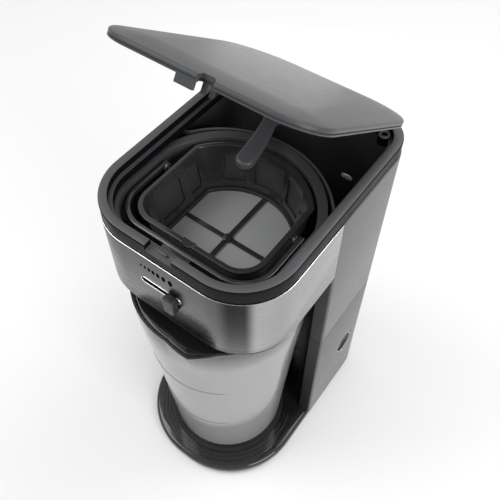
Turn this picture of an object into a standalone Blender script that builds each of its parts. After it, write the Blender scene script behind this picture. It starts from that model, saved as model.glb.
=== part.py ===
"""Top-loading drip coffee maker with a lift-out basket, a swivel spout and a tall clear pitcher.

World frame: metres, +Z up, the front of the machine faces -Y, the floor is Z = 0.
All driving dimensions below are in millimetres.
"""
import bpy
import bmesh
from math import acos, asin, cos, degrees, hypot, pi, radians, sin
from mathutils import Matrix, Vector

MM = 0.001

# ---- body plan -------------------------------------------------------------
HALF = 85.0            # half width of the body
FRONT = -104.0         # front face of the brew head
BACK = 115.5           # back face of the body
R_FRONT = 48.0         # plan radius of the front corners
R_BACK = 30.0          # plan radius of the back corners
WALL = 2.5             # shell wall
JOIN_Y = 5.0           # where the front parts meet the rear shells
GAP = 0.3              # working gap between neighbouring pieces

# ---- heights ---------------------------------------------------------------
BASE_Z0, BASE_Z1 = 3.0, 12.0
SEAM_Z = 177.6         # seam between lower and upper shell
HEAD_Z = 284.0         # underside of the brew head
BAND_Z0, BAND_Z1 = 288.0, 357.5
RIM_Z0, RIM_STEP_Z, RIM_Z1 = 357.9, 365.0, 372.0
LID_Z0, LID_Z1 = 372.4, 377.4   # underside, edge of the crowned top

# ---- pitcher bay -----------------------------------------------------------
PITCHER_Y = -38.5      # pitcher axis
BASE_FRONT = -119.5
BASE_R = 79.5          # plan radius of the rounded base front
BAY_R = 82.5           # concave wall behind the pitcher
TRIM_X = 72.4          # inner edge of the two front strips
SPOUT_DEG = -70.0      # direction the pitcher spout points

# ---- brew basket -----------------------------------------------------------
ARC_Y = -32.7          # centre of the round back of the basket and chamber
BASKET_Z0, BASKET_Z1 = 308.5, 355.0
BASKET_HALF, BASKET_FRONT, BASKET_ARC = 55.5, -74.0, 67.5
BASKET_TAPER = 0.865
TAPER_Y = -8.2
BAIL_Y, BAIL_Z = -24.0, 351.5

# ---- lid -------------------------------------------------------------------
LID_HALF, LID_FRONT, LID_BACK = 83.5, -97.0, 108.0
LID_R_FRONT, LID_R_BACK = 30.0, 50.0
HINGE_Y, HINGE_Z = 112.0, 361.8
LID_OPEN_DEG = 34.4

# ---- spout arm -------------------------------------------------------------
ARM_X, ARM_Y = -22.0, 66.0
ARM_Z0, ARM_Z1 = 363.5, 370.0
NOZZLE_X, NOZZLE_Y = -8.0, 8.0

# ---- slider and switch -----------------------------------------------------
SLOT_Z = 326.0
KNOB_X = 9.5
SWITCH_Y, SWITCH_Z = 63.5, 88.0
ROCKER_DEG = 7.0

PAINT = {
    "gloss_black": ((0.012, 0.012, 0.014), 0.12, 0.0),
    "satin_black": ((0.020, 0.020, 0.022), 0.42, 0.0),
    "rim_grey": ((0.075, 0.078, 0.082), 0.45, 0.0),
    "lid_grey": ((0.235, 0.240, 0.250), 0.36, 0.0),
    "panel_silver": ((0.560, 0.560, 0.555), 0.38, 0.15),
    "steel": ((0.620, 0.615, 0.600), 0.30, 1.0),
    "pin_steel": ((0.500, 0.500, 0.510), 0.30, 1.0),
    "rubber": ((0.025, 0.025, 0.025), 0.80, 0.0),
    "mesh_grey": ((0.500, 0.510, 0.520), 0.60, 0.0),
    "clear": ((0.800, 0.820, 0.840), 0.10, 0.0),
    "alloy": ((0.450, 0.450, 0.460), 0.45, 1.0),
    "silicone": ((0.650, 0.640, 0.600), 0.55, 0.0),
    "cream": ((0.600, 0.580, 0.520), 0.50, 0.0),
}


def clear_scene():
    for ob in list(bpy.data.objects):
        bpy.data.objects.remove(ob, do_unlink=True)


clear_scene()
PARTS = bpy.data.collections.new("drip_coffee_maker")
TOOLS = bpy.data.collections.new("cutters")
for group in (PARTS, TOOLS):
    bpy.context.scene.collection.children.link(group)


# ---- plan outlines ---------------------------------------------------------
def arc(cx, cy, r, a0, a1, n):
    """Points on an arc, angles in degrees, n spans."""
    out = []
    for i in range(n + 1):
        a = radians(a0 + (a1 - a0) * i / n)
        out.append((cx + r * cos(a), cy + r * sin(a)))
    return out


def rounded(half, front, back, rf, rb, n=8):
    """Closed outline with its own radii at the front and the back corners."""
    return (arc(half - rf, front + rf, rf, -90, 0, n)
            + arc(half - rb, back - rb, rb, 0, 90, n)
            + arc(-half + rb, back - rb, rb, 90, 180, n)
            + arc(-half + rf, front + rf, rf, 180, 270, n))


def inset(d, n=8):
    """The body outline moved in by d."""
    return rounded(HALF - d, FRONT + d, BACK - d, R_FRONT - d, R_BACK - d, n)


def front_path(half, front, rf, y_end, n=8):
    """Open path from the right side round the front to the left side."""
    right = arc(half - rf, front + rf, rf, 0, -90, n)
    left = arc(-half + rf, front + rf, rf, -90, -180, n)
    return [(half, y_end)] + right + left + [(-half, y_end)]


def back_path(half, back, rb, y_start, n=8):
    right = arc(half - rb, back - rb, rb, 0, 90, n)
    left = arc(-half + rb, back - rb, rb, 90, 180, n)
    return [(half, y_start)] + right + left + [(-half, y_start)]


def ribbon(outer, inner):
    """Closed outline between two open paths."""
    return outer + inner[::-1]


def arc_backed(half, front, rf, r, cy, n=8, span=16):
    """Outline with rounded front corners, straight sides and a big round back."""
    side = degrees(acos(half / r))
    return (arc(half - rf, front + rf, rf, -90, 0, n)
            + arc(0, cy, r, side, 180 - side, span)
            + arc(-half + rf, front + rf, rf, 180, 270, n))


def capsule(cx, cy, half_len, r, n=6):
    return (arc(cx + half_len, cy, r, -90, 90, n)
            + arc(cx - half_len, cy, r, 90, 270, n))


def soft_rect(x0, x1, y0, y1, r, n=3):
    return (arc(x1 - r, y0 + r, r, -90, 0, n) + arc(x1 - r, y1 - r, r, 0, 90, n)
            + arc(x0 + r, y1 - r, r, 90, 180, n)
            + arc(x0 + r, y0 + r, r, 180, 270, n))


# ---- building blocks -------------------------------------------------------
FACING = {
    "Z": Matrix.Identity(4),
    # outline (x, z) standing up, thickness along +Y
    "Y": Matrix(((1, 0, 0, 0), (0, 0, 1, 0), (0, 1, 0, 0), (0, 0, 0, 1))),
    # outline (y, z) standing up, thickness along +X
    "X": Matrix(((0, 0, 1, 0), (1, 0, 0, 0), (0, 1, 0, 0), (0, 0, 0, 1))),
}


def paint(ob, slot):
    mat = bpy.data.materials.new(ob.name)
    mat.use_nodes = True
    shader = mat.node_tree.nodes["Principled BSDF"]
    colour, rough, metal = PAINT[slot]
    shader.inputs["Base Color"].default_value = (*colour, 1.0)
    shader.inputs["Roughness"].default_value = rough
    shader.inputs["Metallic"].default_value = metal
    ob.data.materials.clear()
    ob.data.materials.append(mat)


def finish(ob, slot):
    """A part gets its material, anything without one is a cutter."""
    for group in list(ob.users_collection):
        group.objects.unlink(ob)
    if slot:
        PARTS.objects.link(ob)
        paint(ob, slot)
        ob.data.shade_smooth()
        ob.data.set_sharp_from_angle(angle=radians(35))
    else:
        TOOLS.objects.link(ob)
        ob.hide_render = True
        ob.display_type = "WIRE"
    return ob


def to_mesh(ob, slot, merge=2e-6, flatten=True):
    """Turn a curve or a modified object into a plain closed mesh in world space."""
    bpy.context.view_layer.update()
    graph = bpy.context.evaluated_depsgraph_get()
    mesh = bpy.data.meshes.new_from_object(ob.evaluated_get(graph))
    name, place = ob.name, ob.matrix_world.copy()
    bpy.data.objects.remove(ob, do_unlink=True)
    mesh.transform(place)
    bm = bmesh.new()
    bm.from_mesh(mesh)
    bmesh.ops.remove_doubles(bm, verts=bm.verts, dist=merge)
    if flatten:
        bmesh.ops.dissolve_limit(bm, angle_limit=radians(0.2), verts=bm.verts,
                                 edges=bm.edges)
    bmesh.ops.recalc_face_normals(bm, faces=bm.faces)
    bm.to_mesh(mesh)
    bm.free()
    new = bpy.data.objects.new(name, mesh)
    bpy.context.scene.collection.objects.link(new)
    return finish(new, slot)


def plate(name, loops, a, b, slot=None, facing="Z"):
    """Flat outline (with holes) given its thickness from a to b."""
    data = bpy.data.curves.new(name, "CURVE")
    data.dimensions = "2D"
    data.fill_mode = "BOTH"
    data.extrude = (b - a) / 2 * MM
    for loop in loops:
        spline = data.splines.new("POLY")
        spline.points.add(len(loop) - 1)
        for p, (u, v) in zip(spline.points, loop):
            p.co = (u * MM, v * MM, 0.0, 1.0)
        spline.use_cyclic_u = True
    ob = bpy.data.objects.new(name, data)
    bpy.context.scene.collection.objects.link(ob)
    ob.matrix_world = FACING[facing] @ Matrix.Translation((0, 0, (a + b) / 2 * MM))
    return to_mesh(ob, slot)


def stacked(name, rings, slot=None):
    """Solid through a stack of outlines with the same number of points each."""
    bm = bmesh.new()
    rows = [[bm.verts.new((x * MM, y * MM, z * MM)) for x, y in loop] for loop, z in rings]
    bm.faces.new(rows[0][::-1])
    bm.faces.new(rows[-1])
    for low, high in zip(rows, rows[1:]):
        for i in range(len(low)):
            j = (i + 1) % len(low)
            bm.faces.new((low[i], low[j], high[j], high[i]))
    bmesh.ops.recalc_face_normals(bm, faces=bm.faces)
    return mesh_object(name, bm, slot)


def block(name, lo, hi, slot=None):
    bm = bmesh.new()
    bmesh.ops.create_cube(bm, size=1.0)
    size = Vector([(h - l) * MM for l, h in zip(lo, hi)])
    mid = Vector([(h + l) / 2 * MM for l, h in zip(lo, hi)])
    bmesh.ops.scale(bm, vec=size, verts=bm.verts)
    bmesh.ops.translate(bm, vec=mid, verts=bm.verts)
    return mesh_object(name, bm, slot)


def mesh_object(name, bm, slot):
    mesh = bpy.data.meshes.new(name)
    bm.to_mesh(mesh)
    bm.free()
    ob = bpy.data.objects.new(name, mesh)
    bpy.context.scene.collection.objects.link(ob)
    return finish(ob, slot)


def rod(name, at, r, a, b, axis="Z", slot=None, sides=24):
    """Cylinder along an axis; at holds the other two coordinates in order."""
    bm = bmesh.new()
    bmesh.ops.create_cone(bm, cap_ends=True, segments=sides, radius1=r * MM,
                          radius2=r * MM, depth=(b - a) * MM)
    turn = {"Z": Matrix.Identity(4), "X": Matrix.Rotation(pi / 2, 4, "Y"),
            "Y": Matrix.Rotation(-pi / 2, 4, "X")}[axis]
    mid = (a + b) / 2
    spot = {"Z": (at[0], at[1], mid), "X": (mid, at[0], at[1]),
            "Y": (at[0], mid, at[1])}[axis]
    bmesh.ops.transform(bm, matrix=turn, verts=bm.verts)
    bmesh.ops.translate(bm, vec=Vector(spot) * MM, verts=bm.verts)
    return mesh_object(name, bm, slot)


def turned(name, profile, at, slot=None, steps=48, z=0.0):
    """Profile of (radius, height), down its outer side, turned about Z at (x, y)."""
    mesh = bpy.data.meshes.new(name)
    pts = [(r * MM, 0.0, h * MM) for r, h in profile]
    closed = profile[0][0] > 0 and profile[-1][0] > 0
    edges = [(i, i + 1) for i in range(len(pts) - 1)]
    if closed:
        edges.append((len(pts) - 1, 0))
    mesh.from_pydata(pts, edges, [])
    ob = bpy.data.objects.new(name, mesh)
    bpy.context.scene.collection.objects.link(ob)
    ob.location = (at[0] * MM, at[1] * MM, z * MM)
    screw = ob.modifiers.new("Turn", "SCREW")
    screw.steps = screw.render_steps = steps
    screw.use_merge_vertices = True
    screw.merge_threshold = 1e-5
    return to_mesh(ob, slot, merge=1e-5, flatten=False)


def tube(name, points, r, slot, sides=2):
    data = bpy.data.curves.new(name, "CURVE")
    data.dimensions = "3D"
    data.bevel_depth = r * MM
    data.bevel_resolution = sides
    data.use_fill_caps = True
    data.resolution_u = 1
    data.render_resolution_u = 0
    spline = data.splines.new("POLY")
    spline.points.add(len(points) - 1)
    for p, co in zip(spline.points, points):
        p.co = (*[c * MM for c in co], 1.0)
    ob = bpy.data.objects.new(name, data)
    bpy.context.scene.collection.objects.link(ob)
    return to_mesh(ob, slot, merge=1e-6, flatten=False)


def soften(ob, width, segments=2, angle=50.0):
    m = ob.modifiers.new("Bevel", "BEVEL")
    m.width = width * MM
    m.segments = segments
    m.limit_method = "ANGLE"
    m.angle_limit = radians(angle)
    m.harden_normals = False


def soften_where(ob, width, test, segments=2):
    """Bevel only the sharp edges whose two ends pass the test (millimetres)."""
    mesh = ob.data
    weight = mesh.attributes.new("bevel_weight_edge", "FLOAT", "EDGE")
    for edge in mesh.edges:
        ends = [mesh.vertices[i].co / MM for i in edge.vertices]
        if all(test(p) for p in ends) and abs(ends[0].z - ends[1].z) < 0.01:
            weight.data[edge.index].value = 1.0
    m = ob.modifiers.new("Bevel", "BEVEL")
    m.width = width * MM
    m.segments = segments
    m.limit_method = "WEIGHT"


def combine(ob, operation, others):
    for other in others:
        m = ob.modifiers.new(operation.title(), "BOOLEAN")
        m.operation = operation
        m.solver = "EXACT"
        m.object = other
    return ob


def cut(ob, *others):
    return combine(ob, "DIFFERENCE", others)


def join(ob, *others):
    return combine(ob, "UNION", others)


def pivot(name, at):
    ob = bpy.data.objects.new(name, None)
    PARTS.objects.link(ob)
    ob.empty_display_size = 0.02
    ob.location = Vector(at) * MM
    bpy.context.view_layer.update()
    return ob


def hang(holder, *obs):
    """Parent the parts, and the tools that shape them, to the joint's empty."""
    keep = holder.matrix_world.inverted()
    for ob in obs:
        tools = [m.object for m in ob.modifiers if m.type == "BOOLEAN"]
        for child in [ob] + tools:
            if child.parent is None:
                child.parent = holder
                child.matrix_parent_inverse = keep


def tapered(ob, z_low, z_high, factor, cy):
    """Draw the plan in towards its axis on the way down."""
    for v in ob.data.vertices:
        t = (v.co.z / MM - z_low) / (z_high - z_low)
        s = factor + (1.0 - factor) * t
        v.co.x *= s
        v.co.y = cy * MM + (v.co.y - cy * MM) * s
    return ob


# ---- base ------------------------------------------------------------------
def base_outline(d, rear_half, rear_back, rb):
    """Round-fronted base, narrower where it goes inside the rear shells."""
    half, front, rf = HALF - 0.2 - d, BASE_FRONT + d, BASE_R - d
    right = arc(half - rf, front + rf, rf, -90, 0, 14)
    left = arc(-half + rf, front + rf, rf, 180, 270, 14)
    rear = back_path(rear_half, rear_back, rb, JOIN_Y)
    return right + [(half, JOIN_Y)] + rear + [(-half, JOIN_Y)] + left


def build_base():
    pan = plate("base_pan", [base_outline(0, 82.1, 112.6, 27.1)],
                BASE_Z0, BASE_Z1, "gloss_black")
    soften_where(pan, 4.0, lambda p: p.y < JOIN_Y + 0.1 and abs(p.x) < HALF + 1
                 and hypot(p.x, min(p.y - PITCHER_Y, 0)) > 70, 3)
    hollow = plate("cut_base_hollow", [base_outline(3.5, 78.6, 109.1, 23.6)],
                   BASE_Z0 - 5, 9.0)
    well = rod("cut_seat_well", (0, PITCHER_Y), 64.5, 10.5, 16, sides=64)
    cut(pan, hollow, well)
    for i, r in enumerate((66.5, 70.6)):
        ring = turned("add_ridge_%d" % i, [(r, 11.0), (r + 0.35, 12.7), (r + 1.25, 12.7),
                                           (r + 1.6, 11.0)], (0, PITCHER_Y), steps=64)
        join(pan, ring)
    turned("pitcher_seat", [(0, 12.6), (60.5, 12.6), (64.1, 12.3), (64.1, 10.8), (0, 10.8)],
           (0, PITCHER_Y), "rubber", 64)
    cover = plate("bottom_cover", [base_outline(3.9, 78.2, 108.7, 23.2)], 3.4, 5.4,
                  "satin_black")
    for i in range(5):
        cut(cover, plate("cut_vent_%d" % i, [capsule(0, 52 + 9 * i, 22, 1.6)], 0, 8))
    build_underside(cover)


def build_underside(cover):
    feet = {"front_left": (-44, -82), "front_right": (44, -82),
            "rear_left": (-58, 90), "rear_right": (58, 90)}
    screws = {"front_left": (-62, -52), "front_right": (62, -52),
              "rear_left": (-40, 96), "rear_right": (40, 96)}
    for name, at in feet.items():
        turned("foot_" + name, [(0, 3.1), (8.0, 3.1), (7.2, 0.0), (0, 0.0)], at,
               "rubber", 24)
    for name, at in screws.items():
        cut(cover, rod("cut_screw_" + name, at, 1.9, 0, 8, sides=12))
        turned("screw_" + name, [(0, 8.6), (1.5, 8.6), (1.5, 3.1), (3.2, 3.1), (3.0, 1.9),
                                 (0, 1.9)], at, "pin_steel", 16)


# ---- column ----------------------------------------------------------------
def u_shell(name, z0, z1, slot):
    outer = back_path(HALF, BACK, R_BACK, JOIN_Y + GAP)
    inner = back_path(HALF - WALL, BACK - WALL, R_BACK - WALL, JOIN_Y + GAP)
    return plate(name, [ribbon(outer, inner)], z0, z1, slot)


def build_column():
    side = degrees(acos(72.1 / BAY_R))
    side_out = degrees(acos(72.1 / (BAY_R + WALL)))
    wall = ribbon(arc(0, PITCHER_Y, BAY_R + WALL, side_out, 180 - side_out, 24),
                  arc(0, PITCHER_Y, BAY_R, side, 180 - side, 24))
    plate("column_front", [wall], BASE_Z1 + GAP, HEAD_Z - GAP, "gloss_black")
    for name, sign in (("left", -1), ("right", 1)):
        x0, x1 = sorted((sign * TRIM_X, sign * HALF))
        strip = plate("column_trim_" + name, [soft_rect(x0, x1, 1.2, JOIN_Y, 0.9)],
                      BASE_Z1 + GAP, BAND_Z0 - GAP, "satin_black")
        seam = block("cut_trim_seam_" + name, (x0 - 1, -1, SEAM_Z - 0.4),
                     (x1 + 1, 2.0, SEAM_Z + 0.4))
        cut(strip, seam)
    lower = u_shell("lower_shell", 4.0, SEAM_Z - 0.4, "panel_silver")
    upper = u_shell("upper_shell", SEAM_Z + 0.4, BAND_Z1, "panel_silver")
    cut(lower, rod("cut_switch_hole", (SWITCH_Y, SWITCH_Z), 15.3, 75, 90, "X", sides=40),
        rod("cut_cord_hole", (0, 32.0), 8.3, 105, 125, "Y", sides=24))
    window = plate("cut_overflow_shell", [capsule(33, 284.5, 3.2, 3.0)], 105, 120,
                   facing="Y")
    cut(upper, window)


def build_reservoir():
    front = arc(0, PITCHER_Y, 86.5, 35.98, 144.02, 24)
    outer = back_path(81.8, 112.4, 26.8, 12.3) + front[::-1]
    inner_front = arc(0, PITCHER_Y, 88.5, 36.63, 143.37, 24)
    inner = back_path(79.8, 110.4, 24.8, 14.3) + inner_front[::-1]
    tank = plate("reservoir", [outer], 125, 357.3, "gloss_black")
    cut(tank, plate("cut_tank_hollow", [inner], 127, 365),
        plate("cut_overflow_tank", [capsule(33, 284.5, 3.2, 3.0)], 105, 120, facing="Y"))


# ---- brew head -------------------------------------------------------------
def head_floor_outline():
    side = degrees(acos(72.1 / 85.8))
    u = front_path(HALF - 1.1, FRONT + 1.1, R_FRONT - 1.1, 0.9)
    back = arc(0, PITCHER_Y, 85.8, 180 - side, side, 20)
    return u + [(-72.1, 0.9)] + back + [(72.1, 0.9)]


def slot_cutter(name, r):
    return plate(name, [capsule(-2.5, SLOT_Z, 15.5, r)], FRONT - 6, FRONT + 8, facing="Y")


def build_head():
    u_out = front_path(HALF, FRONT, R_FRONT, JOIN_Y, 10)
    u_in = front_path(HALF - 0.8, FRONT + 0.8, R_FRONT - 0.8, JOIN_Y, 10)
    band = plate("steel_band", [ribbon(u_out, u_in)], BAND_Z0, BAND_Z1, "steel")
    cut(band, slot_cutter("cut_band_slot", 3.0))
    shell = plate("head_shell", [head_floor_outline()], HEAD_Z, BAND_Z1, "satin_black")
    hollow = front_path(HALF - 3.3, FRONT + 3.3, R_FRONT - 3.3, 56.0)
    cut(shell, plate("cut_head_hollow", [hollow], HEAD_Z + 2.5, 370),
        slot_cutter("cut_head_slot", 3.3),
        rod("cut_drip_hole", (0, PITCHER_Y), 11.0, 280, 290, sides=32))


def build_chamber():
    body = plate("brew_chamber", [arc_backed(71.5, -93.0, 36.0, 74.5, ARC_Y)], 298, 357.5,
                 "satin_black")
    flange_out = arc_backed(79.0, -100.4, 44.5, 80.0, ARC_Y)
    flange = plate("add_chamber_flange", [flange_out], 355.6, 357.5)
    hollow = plate("cut_chamber", [arc_backed(69.5, -91.0, 34.0, 72.5, ARC_Y)], 300, 365)
    join(body, flange)
    cut(body, hollow, rod("cut_chamber_drip", (0, PITCHER_Y), 6.5, 290, 305, sides=32))
    for i, x in enumerate((-24.0, 24.0)):
        join(body, block("add_basket_rest_%d" % i, (x - 1.5, -62.0, 299.0),
                         (x + 1.5, 12.0, BASKET_Z0 - 1.5)))


def build_rim():
    rim = plate("top_rim", [inset(0, 10)], RIM_Z0, RIM_Z1, "rim_grey")
    soften_where(rim, 1.8, lambda p: p.z > RIM_Z1 - 0.1, 2)
    opening = rounded(73.5, -93.2, 103.5, 36.0, 20.0)
    step = rounded(76.5, -96.4, 106.5, 39.0, 22.0)
    cut(rim, plate("cut_rim_opening", [opening], 350, 380),
        plate("cut_rim_step", [step], RIM_STEP_Z, 380),
        block("cut_latch_notch", (-12.3, -112, 366.2), (12.3, -95.9, 380)))
    for name, sign in (("left", -1), ("right", 1)):
        join(rim, rod("add_rim_boss_" + name, (sign * 65.5, 96.5), 5.0, RIM_Z0 + 0.6,
                      RIM_STEP_Z + 3.0))
        x0, x1 = sorted((sign * 20.3, sign * 35.7))
        p0, p1 = sorted((sign * 17.0, sign * 39.0))
        cut(rim, block("cut_hinge_notch_" + name, (x0, 100, 358.5), (x1, 120, 380)),
            rod("cut_hinge_bore_" + name, (HINGE_Y, HINGE_Z), 1.75, p0, p1, "X"))


# ---- water outlet ----------------------------------------------------------
def arm_outline():
    """Curved arm, narrow over its post and wide over its nozzle."""
    p0, p1, p2 = (ARM_X, ARM_Y), (-12.0, 40.0), (NOZZLE_X, NOZZLE_Y)
    left, right = [], []
    for i in range(13):
        t = i / 12
        x = (1 - t) ** 2 * p0[0] + 2 * t * (1 - t) * p1[0] + t * t * p2[0]
        y = (1 - t) ** 2 * p0[1] + 2 * t * (1 - t) * p1[1] + t * t * p2[1]
        dx = 2 * (1 - t) * (p1[0] - p0[0]) + 2 * t * (p2[0] - p1[0])
        dy = 2 * (1 - t) * (p1[1] - p0[1]) + 2 * t * (p2[1] - p1[1])
        w = (5.2 + 2.6 * t) / hypot(dx, dy)
        left.append((x - dy * w, y + dx * w))
        right.append((x + dy * w, y - dx * w))
    tip = arc(NOZZLE_X, NOZZLE_Y, 7.8, -5, -170, 8)
    return left + tip + right[::-1]


def build_outlet():
    turned("riser_post", [(0, 362.9), (4.0, 362.9), (4.0, 358.5), (8.0, 358.5), (8.0, 352),
                          (6.0, 348), (6.0, 134), (11.0, 131), (11.0, 127.4), (0, 127.4)],
           (ARM_X, ARM_Y), "satin_black", 24)
    arm = plate("spout_arm", [arm_outline()], ARM_Z0, ARM_Z1, "rim_grey")
    soften(arm, 1.2, 2, 60)
    hub = rod("add_arm_hub", (ARM_X, ARM_Y), 9.0, 358.9, ARM_Z1 - 0.4, sides=32)
    socket = rod("cut_arm_socket", (ARM_X, ARM_Y), 4.3, 350, 363.3, sides=24)
    join(arm, hub)
    cut(arm, socket)
    nozzle = turned("shower_nozzle", [(2.2, 363.2), (6.4, 363.2), (5.6, 359.6), (2.2, 359.6)],
                    (NOZZLE_X, NOZZLE_Y), "satin_black", 24)
    hang(pivot("spout_arm_pivot", (ARM_X, ARM_Y, ARM_Z0)), arm, nozzle)


# ---- basket ----------------------------------------------------------------
def basket_solid(name, d, z0, z1, slot=None):
    """Basket plan moved in by d, drawn in on the way down."""
    ob = plate(name, [arc_backed(BASKET_HALF - d, BASKET_FRONT + d, 20.0 - d,
                                 BASKET_ARC - d, ARC_Y)], z0, z1, slot)
    return tapered(ob, BASKET_Z0, BASKET_Z1, BASKET_TAPER, TAPER_Y)


def floor_windows():
    """Four openings round a thin cross, close to the walls all the way round."""
    r, edge, bar, cross_y, corner = 54.0, 43.5, 1.8, -27.5, 13.0
    back = arc(0, ARC_Y + 3.3, r, degrees(acos(edge / r)), degrees(acos(bar / r)), 8)
    front = arc(edge - corner, -60.7 + corner, corner, -90, 0, 5)
    right = [[(bar, cross_y + bar), (edge, cross_y + bar)] + back,
             [(bar, -60.7)] + front + [(edge, cross_y - bar), (bar, cross_y - bar)]]
    return right + [[(-x, y) for x, y in loop[::-1]] for loop in right]


def build_basket():
    basket = basket_solid("filter_basket", 0, BASKET_Z0, BASKET_Z1, "satin_black")
    lip = plate("add_basket_lip", [arc_backed(58.0, -76.6, 22.0, 70.0, ARC_Y)],
                BASKET_Z1 - 2.0, BASKET_Z1)
    tab = rod("add_basket_tab", (2.0, -72.0), 6.0, BASKET_Z1 - 2.0, BASKET_Z1 + 0.6,
              sides=24)
    join(basket, lip, tab)
    cut(basket, basket_solid("cut_basket_hollow", 1.8, 310.3, 358))
    for i, loop in enumerate(floor_windows()):
        cut(basket, plate("cut_floor_window_%d" % i, [loop], 300, 312))
    join(basket, rod("add_floor_boss", (0, -27.5), 4.2, BASKET_Z0, 311.2, sides=20))
    for i, (y0, y1) in enumerate(((-50, -22), (-14, 0))):
        cut(basket, plate("cut_side_window_%d" % i, [soft_rect(y0, y1, 318, 345, 3)],
                          -70, 70, facing="X"))
    for i, (x0, x1) in enumerate(((-38, -20), (-14, 14), (20, 38))):
        cut(basket, plate("cut_back_window_%d" % i, [soft_rect(x0, x1, 318, 345, 3)],
                          5, 50, facing="Y"))
    mesh = basket_solid("basket_mesh", -0.9, BASKET_Z0 - 1.2, 349.0, "mesh_grey")
    cut(mesh, basket_solid("cut_mesh_hollow", -GAP, BASKET_Z0 - GAP, 360))
    build_bail(basket, mesh)


def build_bail(basket, mesh):
    outer = front_path(67.0, -84.6, 29.0, BAIL_Y + 3.4)
    inner = front_path(63.4, -81.0, 25.4, BAIL_Y + 3.4)
    bail = plate("basket_handle", [ribbon(outer, inner)], BAIL_Z - 3, BAIL_Z + 3,
                 "satin_black")
    soften(bail, 0.7, 1, 60)
    grip = plate("add_bail_grip", [soft_rect(-13, 13, -88.8, -81.5, 2.4)], BAIL_Z - 1.5,
                 BAIL_Z + 2.6)
    join(bail, grip)
    cut(bail, rod("cut_bail_bore", (BAIL_Y, BAIL_Z), 1.9, -80, 80, "X", sides=16))
    pins = [rod("basket_pin_" + name, (BAIL_Y, BAIL_Z), 1.75, a, b, "X", "pin_steel", 16)
            for name, a, b in (("left", -67.6, -53.0), ("right", 53.0, 67.6))]
    cut(basket, rod("cut_pin_hole", (BAIL_Y, BAIL_Z), 2.0, -70, 70, "X", sides=16))
    lift = pivot("basket_seat", (0, ARC_Y, BASKET_Z0))
    hang(lift, basket, mesh, *pins)
    swing = pivot("basket_handle_pivot", (0, BAIL_Y, BAIL_Z))
    swing.parent = lift
    swing.matrix_parent_inverse = lift.matrix_world.inverted()
    hang(swing, bail)


# ---- lid -------------------------------------------------------------------
def lid_outline(d):
    return rounded(LID_HALF - d, LID_FRONT + d, LID_BACK - d, LID_R_FRONT - d,
                   LID_R_BACK - d, 10)


def build_lid():
    profile = [(0.6, LID_Z0), (0.0, 372.9), (0.0, 373.9), (0.9, 374.1), (0.9, 374.5),
               (0.0, 374.7), (0.0, 376.6), (0.5, 377.1), (1.6, LID_Z1), (12.0, 378.6),
               (28.0, 379.9)]
    lid = stacked("lid", [(lid_outline(d), z) for d, z in profile], "lid_grey")
    notch = [(3.2, -99.0), (15.6, -99.0), (15.6, -95.0), (11.0, -90.2), (3.2, -90.2)]
    cut(lid, plate("cut_lid_hollow", [rounded(79.7, -93.2, 103.0, 26.2, 45.0)],
                   LID_Z0 - 4, 374.8), plate("cut_finger_notch", [notch], 370, 384))
    tab = plate("add_lid_tab", [soft_rect(-11.8, 2.8, -96.7, -93.5, 1.2)], 366.9, 373.8)
    join(lid, tab)
    for name, sign in (("left", -1), ("right", 1)):
        x0, x1 = sorted((sign * 21.0, sign * 35.0))
        web = block("add_hinge_web_" + name, (x0, 105.0, HINGE_Z), (x1, HINGE_Y + 1.5, 374.0))
        barrel = rod("add_hinge_barrel_" + name, (HINGE_Y, HINGE_Z), 2.9, x0, x1, "X")
        join(lid, web, barrel)
    cut(lid, rod("cut_lid_bore", (HINGE_Y, HINGE_Z), 1.8, -60, 60, "X", sides=20))
    liner = plate("lid_liner", [rounded(79.3, -92.8, 102.6, 25.8, 44.6)], 372.9, 374.5,
                  "satin_black")
    cut(liner, plate("cut_liner_notch", [notch], 370, 384))
    for i, x in enumerate((5.5, 12.0)):
        join(liner, block("add_latch_hook_%d" % i, (x - 1.5, -89.8, 366.2),
                          (x + 1.5, -87.4, 373.6)))
    hinge = pivot("lid_hinge", (0, HINGE_Y, HINGE_Z))
    hang(hinge, lid, liner)
    hinge.rotation_euler = (-radians(LID_OPEN_DEG), 0.0, 0.0)
    for name, sign in (("left", -1), ("right", 1)):
        x0, x1 = sorted((sign * 17.4, sign * 38.6))
        rod("hinge_pin_" + name, (HINGE_Y, HINGE_Z), 1.65, x0, x1, "X", "pin_steel", 16)


# ---- controls --------------------------------------------------------------
def build_slider():
    knob = plate("strength_knob", [soft_rect(KNOB_X - 5, KNOB_X + 5, 312.0, 331.0, 2.5)],
                 FRONT - 7.0, FRONT - GAP, "satin_black", "Y")
    soften(knob, 1.0, 2, 60)
    stem = block("add_knob_stem", (KNOB_X - 3, FRONT - 2, SLOT_Z - 2.3),
                 (KNOB_X + 3, FRONT + 4.2, SLOT_Z + 2.3))
    join(knob, stem)
    shutter = block("strength_shutter", (KNOB_X - 12, FRONT + 4.5, SLOT_Z - 8),
                    (KNOB_X + 12, FRONT + 6.1, SLOT_Z + 8), "satin_black")
    hang(pivot("strength_slide", (KNOB_X, FRONT, SLOT_Z)), knob, shutter)


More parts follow.
